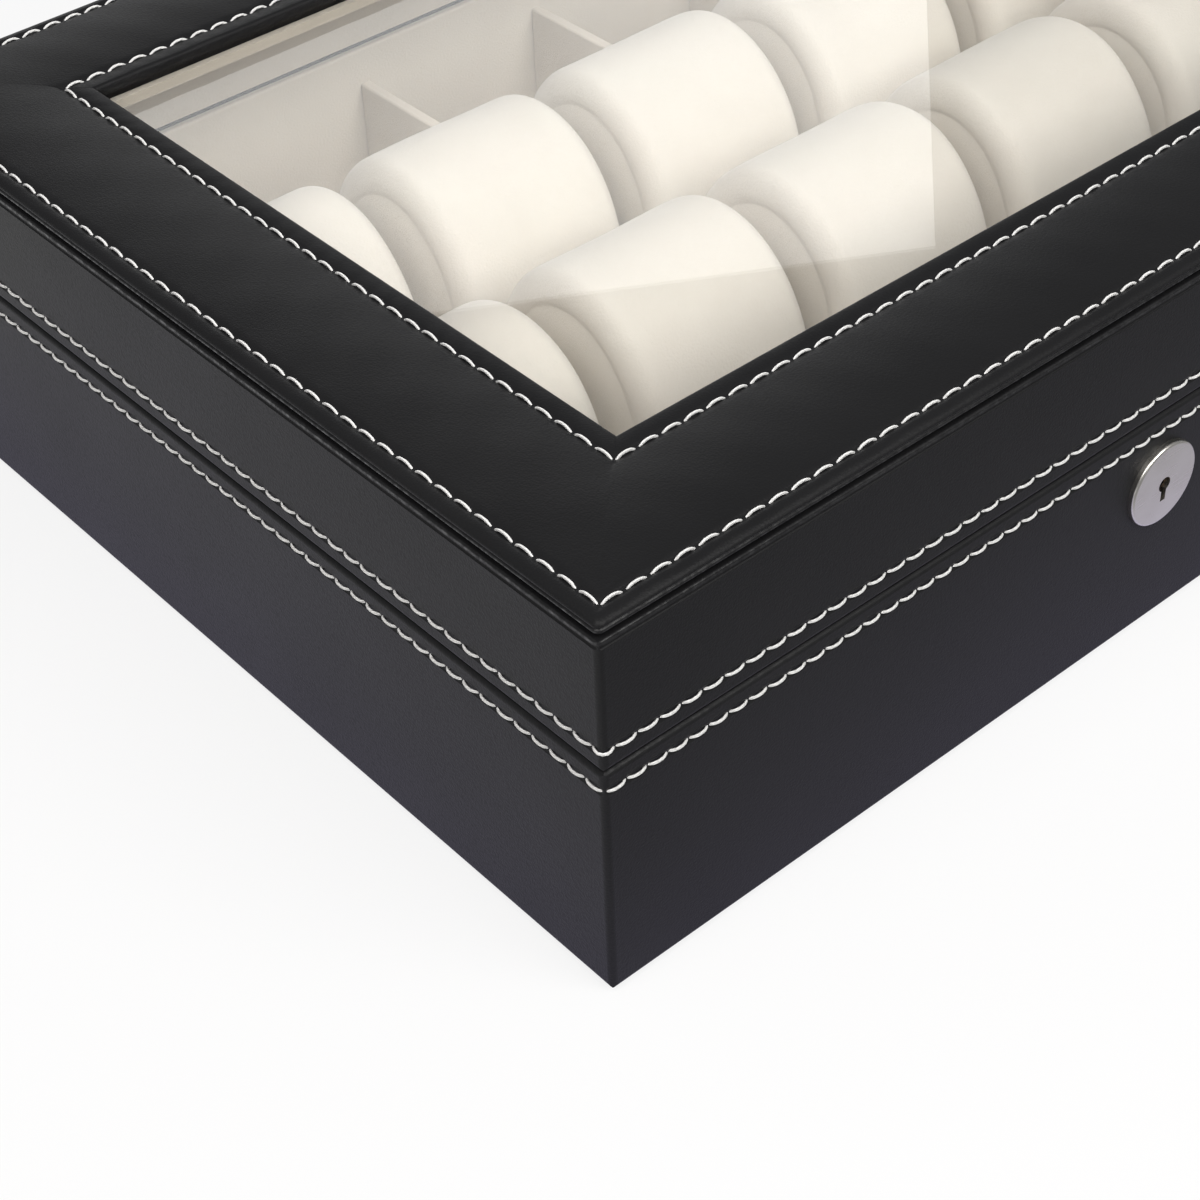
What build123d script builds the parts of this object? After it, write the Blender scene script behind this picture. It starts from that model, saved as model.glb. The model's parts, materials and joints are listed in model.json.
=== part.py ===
from build123d import *
import os
from math import acos, cos, pi, radians, sin, sqrt

# Ten-slot watch box: mitred board box and lid, wrapped in leather, with a glazed lid that hinges at the back.
# Origin: centre of the underside. +X runs along the front, +Y to the back, +Z up. Millimetres.

# Outside of the box
WIDTH = 260.0
DEPTH = 210.0
BASE_HEIGHT = 49.5
LID_HEIGHT = 30.1
SEAM_GAP = 0.4
CORNER_RADIUS = 1.2
RIM_RADIUS = 1.0

# Stitched seams in the leather
SIDE_SEAM = 3.85
SEAM_HALF_WIDTH = 0.9
SEAM_DIP = 0.3

# Sheet and board thicknesses
LEATHER = 1.0
BOARD = 8.0
FELT = 0.8
FLOOR_BOARD = 6.4
FLOOR_PAD = 2.0
LINING = 1.5
LID_LINING = 1.2
DIVIDER = 2.5
RAIL = 2.3
GLASS = 3.0
RETAINER = 2.0

# Base interior
FELT_INSET = 3.0
LINING_DROP = 0.6
DIVIDER_DROP = 8.5
SOFT_EDGE = 0.6
COLUMNS = 5
LAP_FIT = 0.1
END_FIT = 0.2

# Pillows
PILLOW_DEPTH = 47.8
PILLOW_FOOT = 18.0
PILLOW_HEADROOM = 3.3
PILLOW_SIDE_ROOM = 3.0
PILLOW_BACK_ROOM = 0.5
PILLOW_SEAT_GAP = 0.3
PILLOW_END_DRAW = 6.5
PILLOW_EDGE = 0.6
PILLOW_EDGE_DRAW = 2.8
PILLOW_SHOULDER = 2.0
PILLOW_SHOULDER_DRAW = 0.6
PILLOW_WAIST_ANGLE = -10.0
PILLOW_CROWN_ANGLE = 45.0

# Padded frame of the lid
BORDER = 31.3
FRAME_INSET = 0.3
FRAME_EDGE_RADIUS = 1.2
OPENING_RADIUS = 0.9
LIP_RADIUS = 0.45
LIP_BEAD = 1.3
LIP_CREASE_HALF_WIDTH = 0.4
LIP_CREASE = 0.3
OUTER_SEAM = 3.5
INNER_SEAM = 26.9
FOAM_EDGE = 0.3
FOAM_CROWN = 0.6
SHADOW_GAP = 0.8
SHADOW_DEPTH = 3.0
GLASS_LAP = 6.0
GLASS_FIT = 0.3
GLASS_CHAMFER = 0.4
RETAINER_SETBACK = 0.3

# Hinges
OPEN_ANGLE = 95.0
HINGE_INSET = 55.0
HINGE_LENGTH = 30.0
HINGE_KNUCKLES = 5
KNUCKLE_GAP = 0.3
BARREL_RADIUS = 2.1
BARREL_GAP = 0.2
PIN_RADIUS = 0.95
PIN_FIT = 0.05
PIN_HEAD_RADIUS = 1.6
PIN_HEAD = 0.6
LEAF_DEPTH = 8.2
LEAF_FIT = 0.2
LEAF_CLEAR = 0.25
STOP_LENGTH = 5.0
STOP_THICKNESS = 1.0
STOP_CLEAR = 0.12

# Screws
SCREW_RADIUS = 1.0
SCREW_HEAD_RADIUS = 1.9
SCREW_HEAD = 0.9
SCREW_RIM = 0.15
SCREW_LENGTH = 9.0
SCREW_TIP = 2.0
SCREW_SPACING = 18.0
SCREW_FIT = 0.05

# Lock
LOCK_WIDTH = 24.0
LOCK_THICKNESS = 5.0
LOCK_HEIGHT = 19.0
LOCK_PLATE = 1.2
LOCK_FIT = 0.1
BOLT_TRAVEL = 4.0
BOLT_THICKNESS = 1.8
BOLT_BAR = 4.0
BOLT_POST = 1.4
BOLT_NOSE = 4.0
BOLT_NOSE_HEIGHT = 13.6
BOLT_FIT = 0.2
TONGUE_WIDTH = 10.0
TONGUE_LENGTH = 11.5
TONGUE_THICKNESS = 1.4
TONGUE_SLOT_FIT = 0.45
NOTCH_FIT = 0.5
STRIKE_WIDTH = 22.0
STRIKE_DEPTH = 6.4
STRIKE_SCREWS = 16.0
KEYHOLE_RADIUS = 1.5
KEYHOLE_SLOT = 1.3
KEYHOLE_DROP = 3.6
KEYHOLE_TALON = 3.0
ESCUTCHEON_RADIUS = 8.5
ESCUTCHEON = 1.2
ESCUTCHEON_ROUND = 0.5

# Levels and insets that follow from the sizes
skin = LEATHER + BOARD
floor_level = FELT + FLOOR_BOARD
pad_level = floor_level + FLOOR_PAD
divider_top = BASE_HEIGHT - DIVIDER_DROP
lid_rim = BASE_HEIGHT + SEAM_GAP
lid_top = lid_rim + LID_HEIGHT
rail_top = lid_top - LEATHER - FOAM_CROWN - FOAM_EDGE
rail_bottom = rail_top - RAIL
frame_low = rail_bottom + SHADOW_GAP
glass_bottom = rail_bottom - GLASS
retainer_bottom = glass_bottom - RETAINER
inside_width = WIDTH - 2 * (skin + LINING)
inside_depth = DEPTH - 2 * (skin + LINING)
slot_width = (inside_width - (COLUMNS - 1) * DIVIDER) / COLUMNS
back_face = DEPTH / 2
board_middle = LEATHER + BOARD / 2
hinge_y = back_face + BARREL_GAP + BARREL_RADIUS
hinge_z = BASE_HEIGHT + SEAM_GAP / 2
PASS = 1.0


def block(x_span, y_span, z_span):
    """Box between two limits on each axis."""
    sizes = [high - low for low, high in (x_span, y_span, z_span)]
    middles = [(high + low) / 2 for low, high in (x_span, y_span, z_span)]
    return Pos(*middles) * Box(*sizes)


def centred(middle, size):
    """Limits of a length laid evenly about its middle."""
    return middle - size / 2, middle + size / 2


def strip(inset_span, z_span):
    """Rectangular wall section: insets from the outer face, then heights."""
    middle = Pos(sum(inset_span) / 2, sum(z_span) / 2)
    return middle * Rectangle(inset_span[1] - inset_span[0], z_span[1] - z_span[0])


def corner_at(section, inset, height):
    """Section corner at one inset and height."""
    return section.vertices().sort_by_distance((inset, height))[0]


def moulding(section, length):
    """Section run along X with mitred ends, its outer face on Y = 0 and its inside towards +Y."""
    bar = extrude(Plane.YZ * section, amount=length / 2, both=True)
    box = bar.bounding_box()
    half = length / 2
    reach = box.max.Y
    inner = half - reach
    plan = make_face(Polyline((-half, 0), (half, 0), (inner, reach), (-inner, reach), close=True))
    return bar & Pos(0, 0, box.min.Z - PASS) * extrude(plan, amount=box.size.Z + 2 * PASS)


def four_sides(section):
    """The four mitred runs of a section round the box."""
    long_run = moulding(section, WIDTH)
    short_run = moulding(section, DEPTH)
    return {
        "front": Pos(0, -DEPTH / 2) * long_run,
        "back": Pos(0, DEPTH / 2) * Rot(0, 0, 180) * long_run,
        "left": Pos(-WIDTH / 2, 0) * Rot(0, 0, -90) * short_run,
        "right": Pos(WIDTH / 2, 0) * Rot(0, 0, 90) * short_run,
    }


def ring(section, inset):
    """The four runs joined into one wrap, with its upright corners rounded."""
    sides = four_sides(section)
    whole = sides["front"] + sides["back"] + sides["left"] + sides["right"]
    corner = Rectangle(CORNER_RADIUS, CORNER_RADIUS, align=(Align.MIN, Align.MIN)) - Circle(CORNER_RADIUS)
    waste = extrude(corner, amount=lid_top + PASS)
    x = WIDTH / 2 - inset - CORNER_RADIUS
    y = DEPTH / 2 - inset - CORNER_RADIUS
    for quarter, centre in enumerate([(x, y), (-x, y), (-x, -y), (x, -y)]):
        whole -= Pos(*centre) * Rot(0, 0, 90 * quarter) * waste
    return whole


def dip(middle, level, half_width, depth):
    """Arc of a shallow channel pulled into the leather."""
    return ThreePointArc((middle - half_width, level), (middle, level - depth), (middle + half_width, level))


def seam_dip(middle, level):
    """Arc of the channel under a row of stitches."""
    return dip(middle, level, SEAM_HALF_WIDTH, SEAM_DIP)


def side_channel(arc, height):
    """Section to cut from an outer face at one height, from a channel's arc about the origin."""
    return Pos(0, height) * Rot(0, 0, 90) * make_face(Curve() + [arc, Line(arc @ 1, arc @ 0)])


def wrap_section(low, high, low_radius, high_radius, seam):
    """Leather folded round a wall board, turned in over both its edges and drawn in along its seam."""
    section = strip((0, skin), (low, high)) - strip((LEATHER, skin + PASS), (low + LEATHER, high - LEATHER))
    section = fillet(corner_at(section, 0, low), low_radius)
    section = fillet(corner_at(section, 0, high), high_radius)
    return section - side_channel(seam_dip(0, 0), seam)


def lying(radius, length):
    """Cylinder along X about the origin."""
    return Rot(0, 90, 0) * Cylinder(radius, length)


def screw(fit):
    """Countersunk screw pointing down from its head at the origin; fit widens it into its hole."""
    shank = SCREW_RADIUS + fit
    head = SCREW_HEAD_RADIUS + fit
    outline = Polyline(
        (0, fit),
        (head, fit),
        (head, -SCREW_RIM),
        (shank, -SCREW_HEAD),
        (shank, SCREW_TIP - SCREW_LENGTH),
        (0, -SCREW_LENGTH - fit),
        close=True,
    )
    return revolve(Plane.XZ * make_face(outline), Axis.Z)


def placed(spots, fit, upwards):
    """One screw at each spot, pointing down or up."""
    turn = Rot(180, 0, 0) if upwards else Rot(0, 0, 0)
    return [Pos(*spot) * turn * screw(fit) for spot in spots]


# Base carcass
parts = {}
base_walls = four_sides(strip((LEATHER, skin), (FELT + LEATHER, BASE_HEIGHT - LEATHER)))
base_wrap = ring(wrap_section(FELT, BASE_HEIGHT, RIM_RADIUS, RIM_RADIUS, BASE_HEIGHT - SIDE_SEAM), 0)
felt_plan = centred(0, WIDTH - 2 * FELT_INSET), centred(0, DEPTH - 2 * FELT_INSET)
floor_plan = centred(0, WIDTH - 2 * skin), centred(0, DEPTH - 2 * skin)
parts["base_felt"] = block(*felt_plan, (0, FELT))
parts["floor_board"] = block(*floor_plan, (FELT, floor_level))
parts["floor_pad"] = block(*floor_plan, (floor_level, pad_level))

# Lining panels, soft along their upper edge
lining_top = BASE_HEIGHT - LINING_DROP
lining_section = strip((skin, skin + LINING), (pad_level, lining_top))
lining_section = fillet(corner_at(lining_section, skin + LINING, lining_top), SOFT_EDGE)
for side, panel in four_sides(lining_section).items():
    parts["base_lining_" + side] = panel

# Dividers, halved into each other where they cross
lap_level = (pad_level + divider_top) / 2
column_pitch = slot_width + DIVIDER
divider_xs = [(index + 1 - COLUMNS / 2) * column_pitch for index in range(COLUMNS - 1)]
notch = DIVIDER + 2 * LAP_FIT


def divider(x_span, y_span):
    """Divider board with its two upper edges softened."""
    board = block(x_span, y_span, (pad_level, divider_top))
    long_axis = Axis.X if x_span[1] - x_span[0] > y_span[1] - y_span[0] else Axis.Y
    upper = board.edges().filter_by(long_axis).group_by(Axis.Z)[-1]
    return fillet(upper, SOFT_EDGE)


divider_long = divider(centred(0, inside_width - 2 * END_FIT), centred(0, DIVIDER))
for index, middle in enumerate(divider_xs):
    divider_long -= block(centred(middle, notch), centred(0, notch), (lap_level, divider_top + PASS))
    cross = divider(centred(middle, DIVIDER), centred(0, inside_depth - 2 * END_FIT))
    cross -= block(centred(middle, notch), centred(0, notch), (pad_level - PASS, lap_level + LAP_FIT))
    parts[f"divider_cross_{index + 1}"] = cross
parts["divider_long"] = divider_long

# Pillows, soft rolls pushed back against the long divider in their slots
pillow_width = slot_width - 2 * PILLOW_SIDE_ROOM
pillow_bottom = pad_level + PILLOW_SEAT_GAP
pillow_height = retainer_bottom - PILLOW_HEADROOM - pillow_bottom


def pillow_section(x, draw):
    """Upright oval with a flat foot, drawn in all round by draw, on the plane at x."""
    across = PILLOW_DEPTH / 2 - draw
    foot = PILLOW_FOOT / 2 - draw
    share_below = sqrt(1 - (foot / across) ** 2)
    upright = (pillow_height - 2 * draw) / (1 + share_below)
    middle = draw + upright * share_below

    def rim(turn):
        return across * cos(turn), middle + upright * sin(turn)

    foot_turn = -acos(foot / across)
    waist_turn = radians(PILLOW_WAIST_ANGLE)
    crown_turn = radians(PILLOW_CROWN_ANGLE)
    turns = [foot_turn, waist_turn, crown_turn, pi - crown_turn, pi - waist_turn, pi - foot_turn]
    arcs = [ThreePointArc(rim(low), rim((low + high) / 2), rim(high)) for low, high in zip(turns, turns[1:])]
    sole = Line(rim(turns[-1]), rim(turns[0]))
    return Plane.YZ.offset(x) * make_face(Curve() + [sole] + arcs)


half_pillow = pillow_width / 2
end_sections = [
    (0, PILLOW_END_DRAW),
    (PILLOW_EDGE, PILLOW_EDGE_DRAW),
    (PILLOW_SHOULDER, PILLOW_SHOULDER_DRAW),
]
left_end = [pillow_section(inset - half_pillow, draw) for inset, draw in end_sections]
right_end = [pillow_section(half_pillow - inset, draw) for inset, draw in reversed(end_sections)]
pillow_form = loft(left_end + [pillow_section(0, 0)] + right_end, ruled=True)
pillow_y = DIVIDER / 2 + PILLOW_BACK_ROOM + PILLOW_DEPTH / 2
for index in range(COLUMNS):
    column_x = (index + 0.5 - COLUMNS / 2) * column_pitch
    parts[f"pillow_front_{index + 1}"] = Pos(column_x, -pillow_y, pillow_bottom) * pillow_form
    parts[f"pillow_back_{index + 1}"] = Pos(column_x, pillow_y, pillow_bottom) * pillow_form

# Lid walls and their wrap
lid_walls = four_sides(strip((LEATHER, skin), (lid_rim + LEATHER, rail_bottom - LEATHER)))
lip_crease = side_channel(dip(0, 0, LIP_CREASE_HALF_WIDTH, LIP_CREASE), rail_bottom - LIP_BEAD)
lid_wrap_section = wrap_section(lid_rim, rail_bottom, RIM_RADIUS, LIP_RADIUS, lid_rim + SIDE_SEAM)
lid_wrap = ring(lid_wrap_section - lip_crease, 0)
lid_lining_section = strip((skin, skin + LID_LINING), (lid_rim + LINING_DROP, retainer_bottom))
for side, panel in four_sides(lid_lining_section).items():
    parts["lid_lining_" + side] = panel

# Frame rails, stepped underneath to leave the shadow gap
opening_board = BORDER - LEATHER
rail_section = strip((FRAME_INSET + LEATHER, opening_board), (frame_low, rail_top))
rail_section += strip((SHADOW_DEPTH, opening_board), (rail_bottom, frame_low))
for side, rail in four_sides(rail_section).items():
    parts["lid_rail_" + side] = rail

# Pane, and the rebated strips that hold it up against the rails
glass_inset = BORDER - GLASS_LAP
pane = block(
    centred(0, WIDTH - 2 * glass_inset),
    centred(0, DEPTH - 2 * glass_inset),
    (glass_bottom, rail_bottom),
)
parts["glass_pane"] = chamfer(pane.edges().filter_by(Axis.Z, reverse=True), GLASS_CHAMFER)
retainer_section = strip((skin, BORDER - RETAINER_SETBACK), (retainer_bottom, rail_bottom))
retainer_section -= strip((glass_inset - GLASS_FIT, BORDER + PASS), (glass_bottom, rail_bottom + PASS))
for side, retainer in four_sides(retainer_section).items():
    parts["glass_retainer_" + side] = retainer

# Foam and leather of the padded frame, drawn down along both seams
frame_flat = rail_top + LEATHER
foam_outer = OUTER_SEAM + SEAM_HALF_WIDTH
foam_inner = INNER_SEAM - SEAM_HALF_WIDTH
foam_middle = (foam_outer + foam_inner) / 2
foam_side = rail_top + FOAM_EDGE
foam_top = foam_side + FOAM_CROWN
foam_crown = ThreePointArc((foam_outer, foam_side), (foam_middle, foam_top), (foam_inner, foam_side))
foam_sides = Polyline(
    (foam_inner, foam_side),
    (foam_inner, rail_top),
    (foam_outer, rail_top),
    (foam_outer, foam_side),
)
foam_section = make_face(Curve() + [foam_crown, foam_sides])
leather_section = make_face(
    Curve()
    + [
        Polyline(
            (FRAME_INSET, frame_low),
            (FRAME_INSET, frame_flat),
            (OUTER_SEAM - SEAM_HALF_WIDTH, frame_flat),
        ),
        seam_dip(OUTER_SEAM, frame_flat),
        ThreePointArc((foam_outer, frame_flat), (foam_middle, lid_top), (foam_inner, frame_flat)),
        seam_dip(INNER_SEAM, frame_flat),
        Polyline(
            (INNER_SEAM + SEAM_HALF_WIDTH, frame_flat),
            (BORDER, frame_flat),
            (BORDER, rail_bottom),
            (opening_board, rail_bottom),
            (opening_board, rail_top),
            (foam_inner, rail_top),
            (foam_inner, foam_side),
        ),
        foam_crown,
        Polyline(
            (foam_outer, foam_side),
            (foam_outer, rail_top),
            (FRAME_INSET + LEATHER, rail_top),
            (FRAME_INSET + LEATHER, frame_low),
            (FRAME_INSET, frame_low),
        ),
    ]
)
leather_section = fillet(corner_at(leather_section, FRAME_INSET, frame_flat), FRAME_EDGE_RADIUS)
leather_section = fillet(corner_at(leather_section, BORDER, frame_flat), OPENING_RADIUS)
parts["lid_frame_foam"] = ring(foam_section, FRAME_INSET)
parts["lid_frame_leather"] = ring(leather_section, FRAME_INSET)

# Hinges
knuckle_pitch = HINGE_LENGTH / HINGE_KNUCKLES
knuckle = knuckle_pitch - KNUCKLE_GAP
leaf_front = back_face - LEAF_DEPTH
leaf_back = hinge_y - BARREL_RADIUS - LEAF_CLEAR
swing = radians(OPEN_ANGLE)
stop_drop = (BARREL_RADIUS + BARREL_GAP - STOP_CLEAR + STOP_LENGTH * cos(swing)) / sin(swing)
base_leaf_z = (BASE_HEIGHT - LEATHER, BASE_HEIGHT)
lid_leaf_z = (lid_rim, lid_rim + LEATHER)


def leaf(middle, z_span, first, has_stop):
    """Hinge leaf let into a rim, with every second knuckle from the first one on."""
    body = block(centred(middle, HINGE_LENGTH), (leaf_front, leaf_back), z_span)
    for index in range(first, HINGE_KNUCKLES, 2):
        at = middle + (index + 0.5) * knuckle_pitch - HINGE_LENGTH / 2
        span = centred(at, knuckle)
        body += block(span, (leaf_back - PASS, hinge_y), z_span)
        body += Pos(at, hinge_y, hinge_z) * lying(BARREL_RADIUS, knuckle)
        if has_stop:
            stop_low = hinge_z - stop_drop
            body += block(span, (hinge_y, hinge_y + STOP_LENGTH), (stop_low, stop_low + STOP_THICKNESS))
    return body - Pos(middle, hinge_y, hinge_z) * lying(PIN_RADIUS + PIN_FIT, HINGE_LENGTH + PASS)


def hinge_pin(middle):
    """Pin with a flat head at each end."""
    pin = lying(PIN_RADIUS, HINGE_LENGTH + PIN_HEAD)
    for end in (-1, 1):
        pin += Pos(end * (HINGE_LENGTH + PIN_HEAD) / 2, 0, 0) * lying(PIN_HEAD_RADIUS, PIN_HEAD)
    return Pos(middle, hinge_y, hinge_z) * pin


screw_y = back_face - board_middle
base_spots = []
lid_spots = []
hinge_x = WIDTH / 2 - HINGE_INSET
for side, middle in (("left", -hinge_x), ("right", hinge_x)):
    screw_xs = centred(middle, SCREW_SPACING)
    base_spots += [(x, screw_y, BASE_HEIGHT) for x in screw_xs]
    lid_spots += [(x, screw_y, lid_rim) for x in screw_xs]
    parts[f"hinge_{side}_base_leaf"] = leaf(middle, base_leaf_z, 0, False)
    parts[f"hinge_{side}_lid_leaf"] = leaf(middle, lid_leaf_z, 1, True)
    parts[f"hinge_{side}_pin"] = hinge_pin(middle)
    seat_x = centred(middle, HINGE_LENGTH + 2 * LEAF_FIT)
    seat_y = (leaf_front - LEAF_FIT, back_face + PASS)
    base_wrap -= block(seat_x, seat_y, (base_leaf_z[0], base_leaf_z[1] + PASS))
    lid_wrap -= block(seat_x, seat_y, (lid_leaf_z[0] - PASS, lid_leaf_z[1]))

# Lock case, let into the front wall from its rim
lock_y = -DEPTH / 2 + board_middle
lock_low = BASE_HEIGHT - LOCK_HEIGHT
cavity_width = LOCK_WIDTH - 2 * LOCK_PLATE
cavity_low = lock_low + LOCK_PLATE
cavity_depth = LOCK_THICKNESS - 2 * LOCK_PLATE
cavity_high = BASE_HEIGHT - LOCK_PLATE
slot_x = centred(0, TONGUE_WIDTH + 2 * TONGUE_SLOT_FIT)
slot_y = centred(lock_y, TONGUE_THICKNESS + 2 * TONGUE_SLOT_FIT)
lock_case = block(centred(0, LOCK_WIDTH), centred(lock_y, LOCK_THICKNESS), (lock_low, BASE_HEIGHT))
lock_case -= block(centred(0, cavity_width), centred(lock_y, cavity_depth), (cavity_low, cavity_high))
lock_case -= block(slot_x, slot_y, (cavity_low, BASE_HEIGHT + PASS))
lock_seat = block(
    centred(0, LOCK_WIDTH + 2 * LOCK_FIT),
    centred(lock_y, LOCK_THICKNESS + 2 * LOCK_FIT),
    (lock_low - LOCK_FIT, BASE_HEIGHT + PASS),
)

# Sliding bolt: a bar on the case floor, a post at its end and the nose that enters the strike
bolt_low = cavity_low + BOLT_FIT
bolt_left = -cavity_width / 2 + BOLT_FIT
bolt_right = cavity_width / 2 - BOLT_FIT - BOLT_TRAVEL
bolt_y = centred(lock_y, BOLT_THICKNESS)
nose_high = bolt_low + BOLT_NOSE_HEIGHT
nose_low = nose_high - BOLT_NOSE
nose_right = -TONGUE_WIDTH / 2 - BOLT_FIT
key_z = bolt_low + BOLT_BAR / 2
lock_bolt = block((bolt_left, bolt_right), bolt_y, (bolt_low, bolt_low + BOLT_BAR))
lock_bolt += block((bolt_left, bolt_left + BOLT_POST), bolt_y, (bolt_low, nose_high))
lock_bolt += block((bolt_left, nose_right), bolt_y, (nose_low, nose_high))
lock_bolt -= block(centred(0, KEYHOLE_TALON), bolt_y, (bolt_low - PASS, key_z))

# Keyhole through everything in front of the bolt
keyway_y = (-DEPTH / 2 - ESCUTCHEON - PASS, lock_y)
keyway_middle = Pos(0, sum(keyway_y) / 2, key_z) * Rot(90, 0, 0)
keyway = keyway_middle * Cylinder(KEYHOLE_RADIUS, keyway_y[1] - keyway_y[0])
keyway += block(centred(0, KEYHOLE_SLOT), keyway_y, (key_z - KEYHOLE_DROP, key_z))
plate = Cylinder(ESCUTCHEON_RADIUS, ESCUTCHEON)
plate = fillet(plate.edges().group_by(Axis.Z)[-1], ESCUTCHEON_ROUND)
escutcheon = Pos(0, -DEPTH / 2 - ESCUTCHEON / 2, key_z) * Rot(90, 0, 0) * plate

# Strike on the lid rim: a plate let into the leather and a tongue notched for the bolt
tongue_span = centred(0, TONGUE_WIDTH)
notch_right = nose_right + BOLT_TRAVEL + NOTCH_FIT
lock_strike = block(centred(0, STRIKE_WIDTH), centred(lock_y, STRIKE_DEPTH), lid_leaf_z)
lock_strike += block(tongue_span, centred(lock_y, TONGUE_THICKNESS), (lid_rim - TONGUE_LENGTH, lid_leaf_z[1]))
lock_strike -= block(
    (tongue_span[0] - PASS, notch_right),
    centred(lock_y, TONGUE_THICKNESS + PASS),
    (nose_low - NOTCH_FIT, nose_high + NOTCH_FIT),
)
strike_seat = block(
    centred(0, STRIKE_WIDTH + 2 * LEAF_FIT),
    centred(lock_y, STRIKE_DEPTH + 2 * LEAF_FIT),
    (lid_rim - PASS, lid_leaf_z[1]),
)
lid_spots += [(x, lock_y, lid_rim) for x in centred(0, STRIKE_SCREWS)]

# Seats and screw holes
base_wrap -= [lock_seat, keyway]
base_walls["front"] -= [lock_seat, keyway]
lid_wrap -= strike_seat
for side in ("left", "right"):
    parts[f"hinge_{side}_base_leaf"] -= placed(base_spots, SCREW_FIT, False)
    parts[f"hinge_{side}_lid_leaf"] -= placed(lid_spots, SCREW_FIT, True)
base_walls["back"] -= placed(base_spots, SCREW_FIT, False)
lid_walls["back"] -= placed(lid_spots, SCREW_FIT, True)
lid_walls["front"] -= placed(lid_spots, SCREW_FIT, True)
lock_strike -= placed(lid_spots, SCREW_FIT, True)

for side in base_walls:
    parts["base_wall_" + side] = base_walls[side]
    parts["lid_wall_" + side] = lid_walls[side]
parts["base_wrap"] = base_wrap
parts["lid_wrap"] = lid_wrap
parts["lock_case"] = lock_case - keyway
parts["lock_bolt"] = lock_bolt
parts["lock_strike"] = lock_strike
parts["lock_escutcheon"] = escutcheon - keyway
parts["base_screws"] = Compound(children=placed(base_spots, 0, False))
parts["lid_screws"] = Compound(children=placed(lid_spots, 0, True))

os.makedirs("parts", exist_ok=True)
for name, shape in parts.items():
    export_step(shape, f"parts/{name}.step")
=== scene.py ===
import json
from math import acos, cos, exp, hypot, pi, radians, sin, sqrt

import bmesh
import bpy
from mathutils import Matrix, Vector, noise

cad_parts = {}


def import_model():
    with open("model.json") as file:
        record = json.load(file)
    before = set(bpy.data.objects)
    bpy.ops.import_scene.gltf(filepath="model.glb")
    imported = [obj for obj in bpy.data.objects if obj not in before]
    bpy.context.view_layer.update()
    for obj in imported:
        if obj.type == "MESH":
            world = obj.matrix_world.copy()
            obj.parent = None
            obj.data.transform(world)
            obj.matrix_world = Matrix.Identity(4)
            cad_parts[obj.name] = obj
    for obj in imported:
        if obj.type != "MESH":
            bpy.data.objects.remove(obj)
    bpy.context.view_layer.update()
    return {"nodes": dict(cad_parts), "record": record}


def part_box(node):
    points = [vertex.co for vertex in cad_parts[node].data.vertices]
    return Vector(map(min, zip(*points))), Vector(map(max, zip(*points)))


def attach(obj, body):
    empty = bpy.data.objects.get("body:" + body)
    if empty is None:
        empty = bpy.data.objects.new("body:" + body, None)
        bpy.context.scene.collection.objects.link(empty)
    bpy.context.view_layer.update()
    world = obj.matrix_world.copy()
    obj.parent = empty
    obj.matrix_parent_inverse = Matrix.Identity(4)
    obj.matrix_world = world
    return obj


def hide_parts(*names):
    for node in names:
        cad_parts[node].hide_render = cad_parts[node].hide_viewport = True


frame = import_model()

# Watch box with a glazed lid. Metres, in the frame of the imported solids.
# Origin: centre of the underside. +X runs along the front, +Y to the back, +Z up.

# Camera
CAMERA_PLACE = (-0.29127, -0.30111, 0.30569)
CAMERA_YAW = 39.569
CAMERA_PITCH = 41.128
CAMERA_ROLL = -2.44
CAMERA_LENS = 73.42
CAMERA_SENSOR = 36.0
CAMERA_CLIP = 0.01

# Finishes: sizes and depths of their patterns, and their colours
WHITE = (1, 1, 1, 1)
GRAIN = 0.0004
GRAIN_DEPTH = 0.00005
WRINKLE = 0.0011
LEATHER_CLOUD = 0.03
LEATHER_DARK = (0.0070, 0.0070, 0.0076, 1)
LEATHER_LIGHT = (0.0115, 0.0114, 0.0121, 1)
NAP = 0.0005
NAP_DEPTH = 0.00008
NAP_STROKE = 0.014
PILLOW_DARK = (0.66, 0.605, 0.525, 1)
PILLOW_LIGHT = (0.78, 0.735, 0.655, 1)
LINING_DARK = (0.60, 0.54, 0.46, 1)
LINING_LIGHT = (0.74, 0.68, 0.59, 1)
GLASS_SMEAR = 0.02
GLASS_TINT = (0.97, 0.99, 0.98, 1)
POLISH_LINE = 0.0004
POLISH_DEPTH = 0.0000015
POLISH_STRETCH = (0.04, 1.0, 1.0)
TARNISH = 0.006
NICKEL_DARK = (0.60, 0.57, 0.52, 1)
NICKEL_LIGHT = (0.74, 0.72, 0.68, 1)
PLIES = 2
PLY_TWIST = 0.0012
PLY_DEPTH = 0.00008
THREAD_FIBRE = 0.0003
# Thread colours: the dark one is painted shade in the ply grooves, mixed with random fibre tone.
THREAD_DARK = (0.76, 0.755, 0.735, 1)
THREAD_LIGHT = (0.95, 0.945, 0.93, 1)
BOARD_FIBRE = 0.0007
BOARD_DEPTH = 0.0001
BOARD_STRETCH = (0.3, 1.0, 1.0)
BOARD_CLOUD = 0.012
BOARD_DARK = (0.25, 0.17, 0.10, 1)
BOARD_LIGHT = (0.52, 0.39, 0.26, 1)
STAIN_DARK = (0.004, 0.004, 0.004, 1)
STAIN_LIGHT = (0.012, 0.011, 0.011, 1)
PRESSED_DEPTH = 0.0002
FELT_FIBRE = 0.0008
FELT_DARK = (0.008, 0.008, 0.009, 1)
FELT_LIGHT = (0.03, 0.03, 0.032, 1)
FOAM_FIBRE = 0.0006
FOAM_DARK = (0.30, 0.30, 0.28, 1)
FOAM_LIGHT = (0.55, 0.55, 0.52, 1)

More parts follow.
